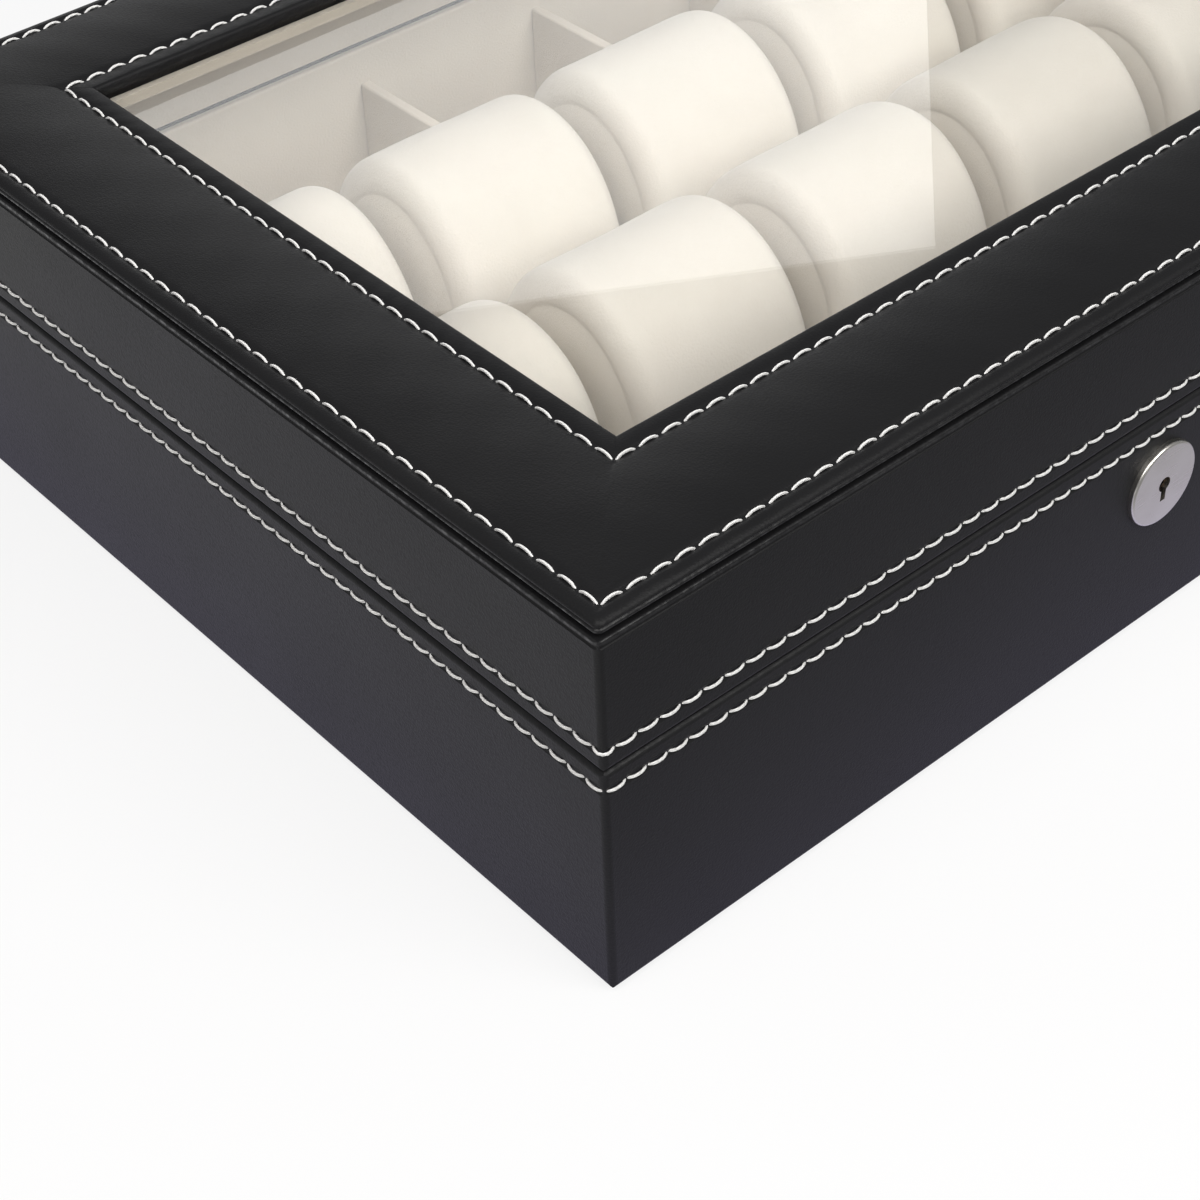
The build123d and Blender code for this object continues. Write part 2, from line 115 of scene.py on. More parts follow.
# Leather
LEATHER = 0.001
CORNER_RADIUS = 0.0012
SIDE_SEAM = 0.00385
OUTER_SEAM = 0.0035
INNER_SEAM = 0.0269
BORDER = 0.0313
FRAME_INSET = 0.0003
SHADOW_GAP = 0.0008
LIP_BEAD_RADIUS = 0.00045
LIP_CREASE = 0.00042
LIP_CREASE_WIDTH = 0.0004
OPENING_RADIUS = 0.0009
SEAM_HALF_WIDTH = 0.0009
SEAM_DIP = 0.0003
PUCKER = 0.00016
PUCKER_REACH = 0.0011
RIPPLE = 0.00006
RIPPLE_ALONG = 410
RIPPLE_ACROSS = 290
RIPPLE_SLANT = 70
FOAM_EDGE = 0.0003
RIM = 0.0004
RIM_SHINE = 0.2
BURNISH_REACH = 0.0006
MITRE_EASE = 0.006
CORNER_ROWS = (0.0003, 0.0006, 0.0012, 0.0018)
ROWS_PER_STITCH = 6
BEAD_STEPS = 8
SHOULDER_STEPS = 10
SEAM_STEPS = 8
CROWN_STEPS = 22
OPENING_STEPS = 6
LINED_STEPS = 6
MERGE_REACH = 1e-6

# Stitches
BASE_STITCH = 0.00415
LID_STITCH = 0.0044
TOP_STITCH = 0.0047
THREAD_RADIUS = 0.00025
TOP_RISE = 0.00036
TOP_SINK = 0.0008
WALL_RISE = 0.0005
WALL_SINK = 0.00034
STITCH_SHAPE = 2.6
STITCH_UNEVEN = 0.12
STITCH_STEPS = 8
STITCH_ROUNDING = 0.001
COUNT_ROUNDING = 0.5
THREAD_SIDES = 7
THREAD_NECK = 0.88
TURN_STEPS = 5
BACK_SIDE = 2
HINGE_MARGIN = 0.003

# Pillows
PILLOW_FOOT = 0.018
PILLOW_END = 0.0038
PILLOW_END_DRAW = 0.006
PILLOW_CREASE = 0.0003
PILLOW_CREASE_WIDTH = 0.0008
PILLOW_ROUND = 72
PILLOW_FOOT_STEPS = 10
PILLOW_RINGS = 18
PILLOW_END_RINGS = 8
PILLOW_CAP_RINGS = 8
PILLOW_CAP_HUB = 0.08
PILLOW_UNEVEN = 0.0003
PILLOW_UNEVEN_SIZE = 0.022
PILLOW_UNEVEN_SHIFT = 7.0
PILLOW_UNEVEN_SEED = 31
SWELL_SCALE = 20.0
SWELL_STEPS = 20
SWELL_PRESSURE = 4.0
SWELL_LIMIT = 0.0007

# Floor pad
PAD_CROWN = 0.0002
PAD_TUCK = 0.0004
PAD_EDGE = 0.005
PAD_STEP = 0.002

# Screws
SCREW_SIDES = 24
SCREW_HEAD_RADIUS = 0.0019
SCREW_BEVEL = 0.0001
SCREW_RIM = 0.00015
SCREW_HEAD = 0.0009
SCREW_RADIUS = 0.001
SCREW_SHANK = 0.007
SCREW_LENGTH = 0.009
SCREW_TIP_RADIUS = 0.0001
HINGE_SCREWS = 0.018
STRIKE_SCREWS = 0.016
RECESS_REACH = 0.00115
RECESS_HALF_WIDTH = 0.00024
RECESS_DEPTH = 0.0007
RECESS_TAPER = 0.55

# Floor and surroundings
FLOOR_REACH = 3.0
FLOOR_HEIGHT = -0.0002
FLOOR_CLOUD = 0.5
FLOOR_DARK = (0.80, 0.80, 0.80, 1)
FLOOR_LIGHT = (0.84, 0.84, 0.84, 1)
FLOOR_WHITENESS = 0.8
WHITE_START = 0.15
WHITE_FADE = 0.45
# Painted reflection: glows that the floor shows only in reflections. It is grey in front and to the right,
# darker further off, and lilac close to the box.
MIRROR_TURN = 0.08
MIRROR_FADE = 0.08
PAINTED_REFLECTION_NEAR = (0.56, 0.56, 0.56, 1)
PAINTED_REFLECTION_FAR = (0.30, 0.30, 0.30, 1)
PAINTED_LILAC_REACH = 0.045
PAINTED_LILAC_SHARE = 0.75
PAINTED_LILAC_REFLECTION = (0.75, 0.70, 1.0, 1)
SURROUNDINGS = (0.96, 0.98, 1.0, 1)
SURROUNDINGS_LIGHT = 0.3

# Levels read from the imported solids
base_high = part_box("base_wrap")[1]
lid_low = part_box("lid_wrap")[0]
cover_low, cover_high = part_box("lid_frame_leather")
rail_low, rail_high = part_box("lid_rail_front")
half_width = base_high.x
half_depth = base_high.y
frame_flat = rail_high.z + LEATHER
foam_outer = OUTER_SEAM + SEAM_HALF_WIDTH
foam_inner = INNER_SEAM - SEAM_HALF_WIDTH
slot_of = {part["node"]: part["material_slot"] for part in frame["record"]["subparts"]}


class Socket:
    """A socket in a node tree. Arithmetic on it adds Math nodes."""

    def __init__(self, tree, socket):
        self.tree = tree
        self.socket = socket

    def out(self, name):
        """Another output of the same node."""
        return Socket(self.tree, self.socket.node.outputs[name])

    def math(self, operation, first, second=0.0):
        return self.tree.node("ShaderNodeMath", {"operation": operation}, {0: first, 1: second})

    def __add__(self, other):
        return self.math("ADD", self, other)

    def __radd__(self, other):
        return self.math("ADD", other, self)

    def __sub__(self, other):
        return self.math("SUBTRACT", self, other)

    def __rsub__(self, other):
        return self.math("SUBTRACT", other, self)

    def __mul__(self, other):
        return self.math("MULTIPLY", self, other)

    def __rmul__(self, other):
        return self.math("MULTIPLY", other, self)

    def __truediv__(self, other):
        return self.math("DIVIDE", self, other)

    def __pow__(self, other):
        return self.math("POWER", self, other)

    def __abs__(self):
        return self.math("ABSOLUTE", self)

    def rounded(self):
        return self.math("ROUND", self)

    def floored(self):
        return self.math("FLOOR", self)

    def waved(self):
        return self.math("SINE", self)

    def at_most(self, other):
        return self.math("MINIMUM", self, other)

    def at_least(self, other):
        return self.math("MAXIMUM", self, other)


class Tree:
    """A node tree of a material, the world or a geometry group."""

    def __init__(self, tree):
        self.tree = tree

    def feed(self, target, value):
        """Link a socket to an input, or set the input's own value."""
        if isinstance(value, Socket):
            self.tree.links.new(value.socket, target)
        else:
            target.default_value = value

    def node(self, kind, settings=None, inputs=None, output=0):
        """New node: its settings first, then the values or links of its inputs."""
        made = self.tree.nodes.new(kind)
        for name, value in (settings or {}).items():
            setattr(made, name, value)
        for key, value in (inputs or {}).items():
            self.feed(made.inputs[key], value)
        return Socket(self, made.outputs[output] if made.outputs else None)

    def place(self):
        return self.node("ShaderNodeTexCoord", output="Object")

    def noise(self, place, size, detail):
        """Soft noise from 0 to 1 whose patches are about one size across."""
        return self.node("ShaderNodeTexNoise", None, {"Vector": place, "Scale": 1 / size, "Detail": detail})

    def cells(self, place, size):
        """Distance pattern of cells about one size across."""
        return self.node("ShaderNodeTexVoronoi", None, {"Vector": place, "Scale": 1 / size})

    def stretched(self, place, scale):
        """Place with each axis scaled, for patterns that run one way."""
        return self.node("ShaderNodeMapping", None, {"Vector": place, "Scale": scale})

    def mixed(self, share, first, second):
        """Blend of two colours."""
        return self.node("ShaderNodeMix", {"data_type": "RGBA"}, {0: share, 6: first, 7: second}, 2)

    def bump(self, height, depth):
        """Normal raised by a height from 0 to 1, as deep as depth."""
        return self.node("ShaderNodeBump", None, {"Height": height, "Distance": depth})


def finish(name, even_values):
    """New material, its tree and its shader's sockets. What is even all over is set on the shader itself."""
    made = bpy.data.materials.new(name)
    made.use_nodes = True
    sockets = made.node_tree.nodes["Principled BSDF"].inputs
    for key, value in even_values.items():
        sockets[key].default_value = value
    return made, Tree(made.node_tree), sockets


def black_leather():
    """Coated leather with a fine pebbled grain and a satin face."""
    made, tree, sockets = finish("black leather", {"Specular IOR Level": 0.16, "Coat Roughness": 0.22})
    place = tree.place()
    level = tree.node("ShaderNodeSeparateXYZ", None, {"Vector": place}, "Z")
    edges = [
        (base_high.z - RIM, RIM_SHINE),
        (lid_low.z + RIM, RIM_SHINE),
        (rail_low.z - LIP_BEAD_RADIUS, 1.0),
        (cover_low.z + SHADOW_GAP + LIP_BEAD_RADIUS, 1.0),
    ]
    burnished = sum(shine * (1 - abs(level - edge) / BURNISH_REACH).at_least(0) for edge, shine in edges)
    pebbles = tree.cells(place, GRAIN)
    wrinkles = tree.noise(place, WRINKLE, 4.0)
    clouds = tree.noise(place, LEATHER_CLOUD, 3.0)
    height = 0.6 * pebbles + 0.4 * wrinkles
    tree.feed(sockets["Base Color"], tree.mixed(clouds, LEATHER_DARK, LEATHER_LIGHT))
    tree.feed(sockets["Roughness"], 0.38 + 0.1 * clouds + 0.08 * pebbles)
    tree.feed(sockets["Coat Weight"], burnished * (4 * wrinkles - 1.6).at_least(0.1).at_most(1))
    tree.feed(sockets["Normal"], tree.bump(height, GRAIN_DEPTH))
    return made


def suede(name, dark, light):
    """Brushed suede: short nap with paler and darker strokes."""
    even_values = {"Sheen Weight": 0.25, "Sheen Roughness": 0.45, "Specular IOR Level": 0.15}
    made, tree, sockets = finish(name, even_values)
    place = tree.place()
    strokes = tree.noise(place, NAP_STROKE, 3.0)
    nap = tree.noise(place, NAP, 3.0)
    tree.feed(sockets["Base Color"], tree.mixed(0.6 * strokes + 0.4 * nap, dark, light))
    tree.feed(sockets["Roughness"], 0.86 + 0.12 * nap)
    tree.feed(sockets["Normal"], tree.bump(nap, NAP_DEPTH))
    return made


def clear_glass():
    """Clear pane that lets the lamps through to what lies under it."""
    made, tree, sockets = finish("clear glass", {"IOR": 1.5, "Transmission Weight": 1.0, "Roughness": 0.0})
    smears = tree.noise(tree.place(), GLASS_SMEAR, 2.0)
    tree.feed(sockets["Base Color"], tree.mixed(smears, GLASS_TINT, WHITE))
    path = tree.node("ShaderNodeLightPath")
    shadow = path.out("Is Shadow Ray").at_least(path.out("Is Diffuse Ray"))
    glass = Socket(tree, made.node_tree.nodes["Principled BSDF"].outputs[0])
    open_way = tree.node("ShaderNodeBsdfTransparent")
    through = tree.node("ShaderNodeMixShader", None, {0: shadow, 1: glass, 2: open_way})
    tree.feed(made.node_tree.nodes["Material Output"].inputs["Surface"], through)
    return made


def nickel():
    """Plated metal with fine lines from the polishing wheel."""
    made, tree, sockets = finish("nickel", {"Metallic": 1.0})
    place = tree.place()
    lines = tree.noise(tree.stretched(place, POLISH_STRETCH), POLISH_LINE, 2.0)
    tarnish = tree.noise(place, TARNISH, 3.0)
    tree.feed(sockets["Base Color"], tree.mixed(tarnish, NICKEL_DARK, NICKEL_LIGHT))
    tree.feed(sockets["Roughness"], 0.2 + 0.1 * lines + 0.08 * tarnish)
    tree.feed(sockets["Normal"], tree.bump(lines, POLISH_DEPTH))
    return made


def white_thread():
    """Twisted white thread, with painted shade in the grooves between its plies."""
    made, tree, sockets = finish("white thread", {"Sheen Weight": 0.2, "Specular IOR Level": 0.3})
    run = tree.node("ShaderNodeAttribute", {"attribute_name": "run"}, output="Fac")
    around = tree.node("ShaderNodeAttribute", {"attribute_name": "around"}, output="Fac")
    ply = 0.5 + 0.5 * (2 * pi * (run / PLY_TWIST + PLIES * around)).waved()
    fibre = tree.noise(tree.place(), THREAD_FIBRE, 3.0)
    # Painted shade: the colour darkens where the ply bump sinks, with some random fibre tone mixed in.
    tree.feed(sockets["Base Color"], tree.mixed(0.7 * ply + 0.3 * fibre, THREAD_DARK, THREAD_LIGHT))
    tree.feed(sockets["Roughness"], 0.6 + 0.2 * fibre)
    tree.feed(sockets["Normal"], tree.bump(ply, PLY_DEPTH))
    return made


def fibreboard(name, dark, light):
    """Fibreboard, speckled with pressed fibres."""
    made, tree, sockets = finish(name, {"Specular IOR Level": 0.2})
    place = tree.place()
    fibres = tree.noise(tree.stretched(place, BOARD_STRETCH), BOARD_FIBRE, 4.0)
    clouds = tree.noise(place, BOARD_CLOUD, 3.0)
    tree.feed(sockets["Base Color"], tree.mixed(0.7 * fibres + 0.3 * clouds, dark, light))
    tree.feed(sockets["Roughness"], 0.8 + 0.15 * fibres)
    tree.feed(sockets["Normal"], tree.bump(fibres, BOARD_DEPTH))
    return made


def pressed_fibre(name, dark, light, size):
    """Matted fibres or open foam, coarse enough to show."""
    made, tree, sockets = finish(name, {"Sheen Weight": 0.15, "Specular IOR Level": 0.1})
    place = tree.place()
    fibres = tree.noise(place, size, 4.0)
    pores = tree.cells(place, 2 * size)
    tree.feed(sockets["Base Color"], tree.mixed(0.6 * fibres + 0.4 * pores, dark, light))
    tree.feed(sockets["Roughness"], 0.85 + 0.14 * fibres)
    tree.feed(sockets["Normal"], tree.bump(fibres + pores, PRESSED_DEPTH))
    return made


finishes = {
    "black_leather": black_leather(),
    "pillow_suede": suede("pillow suede", PILLOW_DARK, PILLOW_LIGHT),
    "cream_lining": suede("cream lining", LINING_DARK, LINING_LIGHT),
    "clear_glass": clear_glass(),
    "nickel": nickel(),
    "white_thread": white_thread(),
    "board": fibreboard("raw fibreboard", BOARD_DARK, BOARD_LIGHT),
    "stained_board": fibreboard("stained fibreboard", STAIN_DARK, STAIN_LIGHT),
    "black_felt": pressed_fibre("black felt", FELT_DARK, FELT_LIGHT, FELT_FIBRE),
    "foam": pressed_fibre("foam", FOAM_DARK, FOAM_LIGHT, FOAM_FIBRE),
}
for name, node in frame["nodes"].items():
    node.data.materials.clear()
    node.data.materials.append(finishes[slot_of[name]])


def new_piece(name, points, faces, slot):
    """Smooth mesh object from points and faces, finished as its slot says."""
    mesh = bpy.data.meshes.new(name)
    mesh.from_pydata(points, [], faces)
    mesh.validate()
    return mesh_piece(name, mesh, slot)


def mesh_piece(name, mesh, slot):
    """Object for a finished mesh."""
    made = bpy.data.objects.new(name, mesh)
    bpy.context.scene.collection.objects.link(made)
    mesh.materials.clear()
    mesh.materials.append(finishes[slot])
    mesh.shade_smooth()
    return made


def baked(thing):
    """Plain mesh of an object with its modifiers applied."""
    bpy.context.view_layer.update()
    return bpy.data.meshes.new_from_object(thing.evaluated_get(bpy.context.evaluated_depsgraph_get()))


def spread(low, high, steps):
    """Even values from low to high."""
    return [low + (high - low) * step / steps for step in range(steps + 1)]


def stitch_count(length, pitch):
    """Whole stitches on a run of one length."""
    return max(1, round(length / pitch))


def corner_points(inset, height):
    """The four corners of the box's plan drawn in by an inset, from front left, anticlockwise from above."""
    x = half_width - inset
    y = half_depth - inset
    corners = [(-x, -y), (x, -y), (x, y), (-x, y)]
    return [Vector((*corner, height)) for corner in corners]


# Seam lines


def top_seam_lines(inset):
    """One straight line along each side of the frame, from corner to corner."""
    corners = corner_points(inset, frame_flat - SEAM_DIP)
    return [[corners[side], corners[(side + 1) % 4]] for side in range(4)]


def cut_at(line, length):
    """Two lines: the first length of a line, and what is left of it."""
    walked = 0.0
    for index, (first, second) in enumerate(zip(line, line[1:])):
        step = (second - first).length
        if walked + step > length:
            place = first.lerp(second, (length - walked) / step)
            return line[: index + 1] + [place], [place] + line[index + 1:]
        walked += step
    raise ValueError("the line is too short to cut")


def side_seam_lines(height, corner_stitch):
    """Lines along the walls, open at the hinges, with a stitch round each corner where one is asked for."""
    centres = corner_points(CORNER_RADIUS, height)
    walls = []
    for side in range(4):
        outward = (side - 1) * pi / 2
        line = []
        for centre, start in ((centres[side], outward - pi / 4), (centres[(side + 1) % 4], outward)):
            for angle in spread(start, start + pi / 4, TURN_STEPS):
                line.append(centre + (CORNER_RADIUS - SEAM_DIP) * Vector((cos(angle), sin(angle), 0)))
        walls.append(line)
    back = walls[BACK_SIDE]
    back_length = sum((second - first).length for first, second in zip(back, back[1:]))
    corners = []
    if corner_stitch:
        heads = []
        tails = []
        for side, line in enumerate(walls):
            head, rest = cut_at(line, corner_stitch / 2)
            tail, middle = cut_at(rest[::-1], corner_stitch / 2)
            heads.append(head)
            tails.append(tail[::-1])
            walls[side] = middle[::-1]
        corners = [tails[side - 1] + heads[side][1:] for side in range(4)]
    parted = []
    rest = walls.pop(BACK_SIDE)
    walked = corner_stitch / 2
    for side in ("right", "left"):
        low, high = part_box(f"hinge_{side}_lid_leaf")
        for x in (high.x + HINGE_MARGIN, low.x - HINGE_MARGIN):
            part, rest = cut_at(rest, back_length / 2 - x - walked)
            parted.append(part)
            walked = back_length / 2 - x
    return walls + corners + parted[0::2] + [rest]


def line_curve(name, lines):
    """Curve object with one poly spline for each line."""
    curve = bpy.data.curves.new(name, "CURVE")
    curve.dimensions = "3D"
    for line in lines:
        spline = curve.splines.new("POLY")
        spline.points.add(len(line) - 1)
        for point, place in zip(spline.points, line):
            point.co = (*place, 1)
    made = bpy.data.objects.new(name, curve)
    bpy.context.scene.collection.objects.link(made)
    return made


def node_group(name, inputs):
    """Geometry group with named inputs, and the identifier of each."""
    group = bpy.data.node_groups.new(name, "GeometryNodeTree")
    group.interface.new_socket("Geometry", in_out="OUTPUT", socket_type="NodeSocketGeometry")
    group.interface.new_socket("Geometry", in_out="INPUT", socket_type="NodeSocketGeometry")
    keys = {}
    for label, kind in inputs.items():
        keys[label] = group.interface.new_socket(label, in_out="INPUT", socket_type=kind).identifier
    return group, keys


def stored(tree, geometry, label, value):
    """Geometry with a value kept on it under a label."""
    kept = {"Geometry": geometry, "Name": label, "Value": value}
    return tree.node("GeometryNodeStoreNamedAttribute", None, kept)


def stitch_group():
    """Thread that rises out of one needle hole and dives into the next along each spline of a seam line."""
    group, keys = node_group("stitched seam", {
        "Stitch": "NodeSocketFloat",
        "Thread Radius": "NodeSocketFloat",
        "Rise": "NodeSocketFloat",
        "Sink": "NodeSocketFloat",
        "On Wall": "NodeSocketFloat",
        "Unevenness": "NodeSocketFloat",
        "Seed": "NodeSocketInt",
        "Material": "NodeSocketMaterial",
    })
    tree = Tree(group)
    given = tree.node("NodeGroupInput")
    length = tree.node("GeometryNodeSplineLength", output="Length")
    stitches = (length / given.out("Stitch")).rounded().at_least(1)
    fine = tree.node("GeometryNodeResampleCurve", None, {
        "Curve": given.out("Geometry"),
        "Count": stitches * STITCH_STEPS + (1 + COUNT_ROUNDING),
    })
    spline = tree.node("GeometryNodeSplineParameter")
    along = spline.out("Factor") * stitches
    number = (along + STITCH_ROUNDING).floored()
    arch = 1 - abs(2 * (along - number) - 1) ** STITCH_SHAPE
    uneven = given.out("Unevenness")
    varied = tree.node("FunctionNodeRandomValue", {"data_type": "FLOAT"}, {
        2: 1 - uneven,
        3: 1 + uneven,
        "ID": number,
        "Seed": given.out("Seed"),
    }, 1)
    height = (given.out("Rise") * varied + given.out("Sink")) * arch - given.out("Sink")
    up = (0, 0, 1)
    tangent = tree.node("GeometryNodeInputTangent")
    sideways = tree.node("ShaderNodeVectorMath", {"operation": "CROSS_PRODUCT"}, {0: tangent, 1: up})
    on_wall = given.out("On Wall")
    outward = tree.node("ShaderNodeMix", {"data_type": "VECTOR"}, {0: on_wall, 4: up, 5: sideways}, 1)
    offset = tree.node("ShaderNodeVectorMath", {"operation": "SCALE"}, {0: outward, "Scale": height})
    for label, value in (("arch", arch), ("run", spline.out("Length"))):
        fine = stored(tree, fine, label, value)
    arched = tree.node("GeometryNodeSetPosition", None, {"Geometry": fine, "Offset": offset})
    ring = tree.node("GeometryNodeCurvePrimitiveCircle", None, {
        "Resolution": THREAD_SIDES,
        "Radius": given.out("Thread Radius"),
    })
    turn = tree.node("GeometryNodeSplineParameter", output="Factor")
    ring = stored(tree, ring, "around", turn)
    kept_arch = tree.node("GeometryNodeInputNamedAttribute", {"data_type": "FLOAT"}, {"Name": "arch"})
    tube = tree.node("GeometryNodeCurveToMesh", None, {
        "Curve": arched,
        "Profile Curve": ring,
        "Scale": THREAD_NECK + (1 - THREAD_NECK) * kept_arch,
        "Fill Caps": True,
    })
    solid = tree.node("GeometryNodeRealizeInstances", None, {"Geometry": tube})
    shown = tree.node("GeometryNodeSetMaterial", None, {"Geometry": solid, "Material": given.out("Material")})
    tree.node("NodeGroupOutput", None, {"Geometry": shown})
    return group, keys


def run_group(thing, group, keys, values):
    """Plain mesh of a geometry group on an object, which is then deleted."""
    modifier = thing.modifiers.new(group.name, "NODES")
    modifier.node_group = group
    for label, value in values.items():
        modifier[keys[label]] = value
    mesh = baked(thing)
    thing.modifiers.remove(modifier)
    bpy.data.objects.remove(thing)
    return mesh


stitched_seam, stitch_keys = stitch_group()


def stitch(name, lines, pitch, on_wall, seed, body):
    """Row of stitches along a seam."""
    mesh = run_group(line_curve(name + "_line", lines), stitched_seam, stitch_keys, {
        "Stitch": pitch,
        "Thread Radius": THREAD_RADIUS,
        "Rise": WALL_RISE if on_wall else TOP_RISE,
        "Sink": WALL_SINK if on_wall else TOP_SINK,
        "On Wall": on_wall,
        "Unevenness": STITCH_UNEVEN,
        "Seed": seed,
        "Material": finishes["white_thread"],
    })
    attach(mesh_piece(name, mesh, "white_thread"), body)


base_seam = side_seam_lines(base_high.z - SIDE_SEAM, corner_stitch=0.0)
lid_seam = side_seam_lines(lid_low.z + SIDE_SEAM, corner_stitch=LID_STITCH)
stitch("base_seam_thread", base_seam, BASE_STITCH, on_wall=1.0, seed=11, body="base")
stitch("lid_seam_thread", lid_seam, LID_STITCH, on_wall=1.0, seed=12, body="lid")
stitch("frame_outer_seam_thread", top_seam_lines(OUTER_SEAM), TOP_STITCH, on_wall=0.0, seed=13, body="lid")
stitch("frame_inner_seam_thread", top_seam_lines(INNER_SEAM), TOP_STITCH, on_wall=0.0, seed=14, body="lid")


# Padded leather of the lid frame


def turned(centre, across, upright, start, end, steps):
    """Points of a round or oval arc in a section."""
    angles = [radians(angle) for angle in spread(start, end, steps)]
    return [(centre[0] + across * cos(angle), centre[1] + upright * sin(angle)) for angle in angles]


def cover_section():
    """Closed section of the frame leather as insets and heights: over the top, then back along the inside."""
    lip = cover_low.z + SHADOW_GAP
    bead = FRAME_INSET + LIP_BEAD_RADIUS, lip + LIP_BEAD_RADIUS
    crease = lip + 2 * LIP_BEAD_RADIUS + LIP_CREASE_WIDTH / 2
    shoulder = OUTER_SEAM - SEAM_HALF_WIDTH, crease + LIP_CREASE_WIDTH / 2
    opening = BORDER - OPENING_RADIUS, frame_flat - OPENING_RADIUS
    section = turned(bead, LIP_BEAD_RADIUS, LIP_BEAD_RADIUS, 270, 110, BEAD_STEPS)
    section.append((FRAME_INSET + LIP_CREASE, crease))
    rounded = turned(shoulder, shoulder[0] - FRAME_INSET, frame_flat - shoulder[1], 180, 90, SHOULDER_STEPS)
    section += rounded[:-1]
    section += [(inset, frame_flat) for inset in spread(OUTER_SEAM - SEAM_HALF_WIDTH, foam_outer, SEAM_STEPS)]
    for inset in spread(foam_outer, foam_inner, CROWN_STEPS)[1:-1]:
        section.append((inset, crown_height(inset, half_depth)))
    section += [(inset, frame_flat) for inset in spread(foam_inner, INNER_SEAM + SEAM_HALF_WIDTH, SEAM_STEPS)]
    section += turned(opening, OPENING_RADIUS, OPENING_RADIUS, 90, 0, OPENING_STEPS)
    section += [(BORDER, cover_low.z), (BORDER - LEATHER, cover_low.z), (BORDER - LEATHER, rail_high.z)]
    section += [(foam_inner, rail_high.z), (foam_inner, rail_high.z + FOAM_EDGE)]
    for inset in reversed(spread(foam_outer, foam_inner, LINED_STEPS)[1:-1]):
        section.append((inset, crown_height(inset, half_depth) - LEATHER + FOAM_EDGE))
    section += [(foam_outer, rail_high.z + FOAM_EDGE), (foam_outer, rail_high.z)]
    section += [(FRAME_INSET + LEATHER, rail_high.z), (FRAME_INSET + LEATHER, lip)]
    return section


def crown_height(inset, from_end):
    """Height of the padded face between its seams, from its distances to the side edge and the end edge."""
    likeness = max(0.0, MITRE_EASE - abs(inset - from_end))
    nearest = min(inset, from_end) - likeness ** 2 / (4 * MITRE_EASE)
    outwards = max(0.0, nearest - foam_outer)
    inwards = hypot(max(0.0, foam_inner - inset), max(0.0, foam_inner - from_end))
    share = outwards / (outwards + inwards)
    return frame_flat + (cover_high.z - frame_flat) * 4 * share * (1 - share)


def seam_pull(inset, seam, along, stitches, pitch):
    """How far the stitches of one seam pull the leather down at a place on it."""
    away = inset - seam
    channel = max(0.0, 1 - (away / SEAM_HALF_WIDTH) ** 2) * SEAM_DIP
    part = along * stitches % 1
    to_hole = min(part, 1 - part) * pitch
    return channel + PUCKER * exp(-(away ** 2 + to_hole ** 2) / PUCKER_REACH ** 2)


def frame_cover():
    """Leather over the padded frame, drawn down along its seams and puckered at each needle hole."""
    section = cover_section()
    points = []
    for side, corner in enumerate(corner_points(0, 0)):
        run = 2 * (half_width if side % 2 == 0 else half_depth)
        turn = Matrix.Rotation(side * pi / 2, 3, "Z")
        counts = [(seam, stitch_count(run - 2 * seam, TOP_STITCH)) for seam in (OUTER_SEAM, INNER_SEAM)]
        steps = ROWS_PER_STITCH * counts[0][1]
        near_corner = [place / run for place in CORNER_ROWS]
        places = near_corner + [1 - place for place in near_corner] + [step / steps for step in range(steps)]
        for along in sorted(places):
            for inset, height in section:
                points.append(corner + turn @ cover_point(run, along, inset, height, counts))
    size = len(section)
    columns = len(points) // size
    faces = []
    for column in range(columns):
        here = column * size
        there = (column + 1) % columns * size
        for index in range(size):
            after = (index + 1) % size
            faces.append((here + index, here + after, there + after, there + index))
    made = new_piece("frame_leather", points, faces, "black_leather")
    recalculate(made.data)
    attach(made, "lid")
    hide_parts("lid_frame_leather")


def cover_point(run, along, inset, height, counts):
    """One point of the frame leather, from the outer corner where its side starts."""
    place = inset + along * (run - 2 * inset)
    if foam_outer < inset < foam_inner:
        height += crown_height(inset, min(place, run - place)) - crown_height(inset, half_depth)
    drop = 0.0
    if height > frame_flat - LEATHER / 4:
        drop = sum(seam_pull(inset, seam, along, count, (run - 2 * seam) / count) for seam, count in counts)
        drop += RIPPLE * sin(place * RIPPLE_ALONG) * sin(inset * RIPPLE_ACROSS + place * RIPPLE_SLANT)
    centre = FRAME_INSET + CORNER_RADIUS
    radius = centre - inset
    for start, sign in ((0.0, 1.0), (run, -1.0)):
        from_mitre = abs(place - start) - inset
        if from_mitre < radius:
            angle = pi / 4 * (1 - from_mitre / radius)
            place = start + sign * (centre - radius * sin(angle))
            inset = centre - radius * cos(angle)
            break
    return Vector((place, inset, height - drop))


def recalculate(mesh, reach=MERGE_REACH):
    """Merge points within reach of each other and turn all faces outwards."""
    work = bmesh.new()
    work.from_mesh(mesh)
    bmesh.ops.remove_doubles(work, verts=work.verts, dist=reach)
    bmesh.ops.recalc_face_normals(work, faces=work.faces)
    work.to_mesh(mesh)
    work.free()
    mesh.shade_smooth()


frame_cover()


# Watch pillows


def pillow_ring(half, upright, draw):
    """One upright oval with a flat foot, drawn in by draw, as places across and heights over its foot."""
    across = half - draw
    foot = PILLOW_FOOT / 2 - draw
    share_below = sqrt(1 - (foot / across) ** 2)
    radius = (upright - 2 * draw) / (1 + share_below)
    middle = draw + radius * share_below
    start = -acos(foot / across)
    arc_steps = PILLOW_ROUND - PILLOW_FOOT_STEPS
    ring = []
    for angle in spread(start, pi - start, arc_steps)[:-1]:
        ring.append((across * cos(angle), middle + radius * sin(angle)))
    ring += [(place, draw) for place in spread(-foot, foot, PILLOW_FOOT_STEPS)[:-1]]
    return ring


